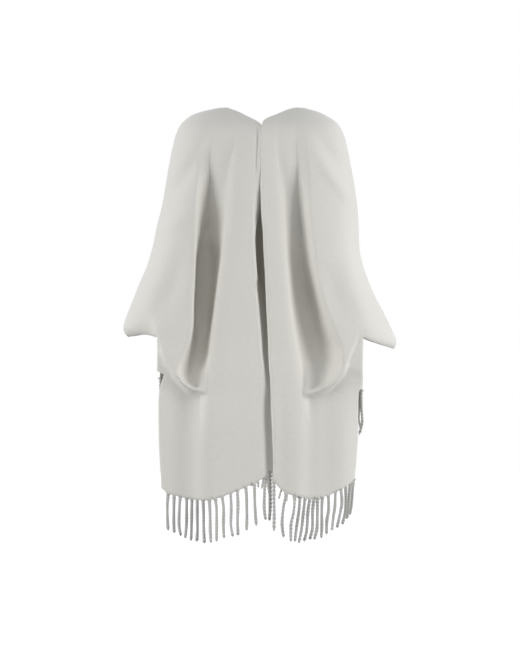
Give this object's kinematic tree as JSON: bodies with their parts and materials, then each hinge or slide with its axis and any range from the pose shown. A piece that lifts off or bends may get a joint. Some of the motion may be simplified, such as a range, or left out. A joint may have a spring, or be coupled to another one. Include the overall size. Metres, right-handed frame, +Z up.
{
  "type": "open-front fringed poncho",
  "caption": "Light grey wool poncho, open down the front, draped as worn with hollow wings, a swag under each arm and twisted fringe along its hems.",
  "frame": {"origin": "midway between the two points where the neckline crosses the shoulders, where the wearer's shoulders hold it", "axes": "+Z up, the front and its slit face -Y, +X is the viewer's right when looking at the front"},
  "size_m": [0.6233, 0.2826, 0.9963],
  "materials": {
    "wool_cloth": "brushed double-face wool, matt with a soft nap",
    "fringe_yarn": "twisted wool yarn, matt"
  },
  "bodies": {
    "root": {"back": "wool_cloth", "front_left": "wool_cloth", "front_right": "wool_cloth", "fringe_back": "fringe_yarn", "fringe_front_left": "fringe_yarn", "fringe_front_right": "fringe_yarn"}
  },
  "joints": []
}
